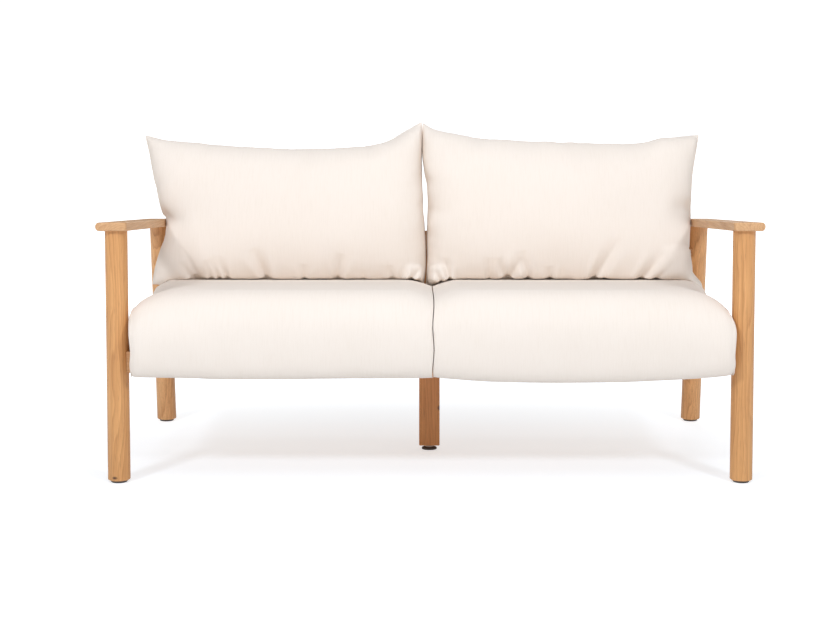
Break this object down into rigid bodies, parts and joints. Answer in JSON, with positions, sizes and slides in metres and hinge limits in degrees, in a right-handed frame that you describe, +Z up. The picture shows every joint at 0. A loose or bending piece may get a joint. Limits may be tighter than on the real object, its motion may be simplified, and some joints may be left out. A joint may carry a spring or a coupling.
{
  "type": "patio loveseat",
  "caption": "Patio loveseat with a teak frame of round raked legs and sloping plank armrests, thick wrapped seat cushions and loose pointed back cushions in cream fabric.",
  "frame": {"origin": "On the floor, under the middle of the bounding box of the whole sofa.", "axes": "+Z is up. +Y points to the back of the sofa. +X is its right side as seen from the front."},
  "size_m": [1.536, 0.8019, 0.824],
  "materials": {
    "teak": "satin",
    "cover_fabric": "matte",
    "core_foam": "matte",
    "steel": "satin",
    "brass": "satin",
    "glide_plastic": "matte",
    "foot_plastic": "matte"
  },
  "bodies": {
    "frame": {"front_leg_left": "teak", "front_leg_right": "teak", "rear_leg_left": "teak", "rear_leg_right": "teak", "armrest_left": "teak", "armrest_right": "teak", "side_rail_left": "teak", "side_rail_right": "teak", "slat_cleat_left": "teak", "slat_cleat_right": "teak", "front_rail": "teak", "rear_rail": "teak", "centre_bearer": "teak", "centre_leg": "teak", "back_top_rail": "teak", "back_bottom_rail": "teak", "seat_slat_1": "teak", "seat_slat_2": "teak", "seat_slat_3": "teak", "seat_slat_4": "teak", "seat_slat_5": "teak", "seat_slat_6": "teak", "seat_slat_7": "teak", "seat_slat_8": "teak", "back_slat_01": "teak", "back_slat_02": "teak", "back_slat_03": "teak", "back_slat_04": "teak", "back_slat_05": "teak", "back_slat_06": "teak", "back_slat_07": "teak", "back_slat_08": "teak", "back_slat_09": "teak", "back_slat_10": "teak", "back_slat_11": "teak", "centre_leg_bolt": "steel", "rail_bolts": "steel", "rail_barrel_nuts": "steel", "slat_screws": "steel", "cleat_screws": "steel", "centre_leg_insert": "brass", "levelling_insert": "brass", "glide_front_left": "glide_plastic", "glide_front_right": "glide_plastic", "glide_rear_left": "glide_plastic", "glide_rear_right": "glide_plastic"},
    "foot": {"levelling_foot": "foot_plastic"},
    "seat_left": {"seat_cushion_left": "cover_fabric", "seat_core_left": "core_foam"},
    "seat_right": {"seat_cushion_right": "cover_fabric", "seat_core_right": "core_foam"},
    "back_left": {"back_cushion_left": "cover_fabric", "back_core_left": "core_foam"},
    "back_right": {"back_cushion_right": "cover_fabric", "back_core_right": "core_foam"}
  },
  "joints": [
    {"name": "seat_left_slide", "type": "slide", "parent": "frame", "child": "seat_left", "axis": [0, -0.9979, 0.0645], "range_m": [0, 0.25]},
    {"name": "seat_right_slide", "type": "slide", "parent": "frame", "child": "seat_right", "axis": [0, -0.9979, 0.0645], "range_m": [0, 0.25]},
    {"name": "back_left_tip", "type": "hinge", "parent": "frame", "child": "back_left", "pos_m": [0, 0.1163, 0.4205], "axis": [1, 0, 0], "range_deg": [0, 38]},
    {"name": "back_right_tip", "type": "hinge", "parent": "frame", "child": "back_right", "pos_m": [0, 0.1163, 0.4205], "axis": [1, 0, 0], "range_deg": [0, 38]},
    {"name": "foot_screw", "type": "slide", "parent": "frame", "child": "foot", "axis": [0, 0, -1], "range_m": [0, 0.01]}
  ]
}
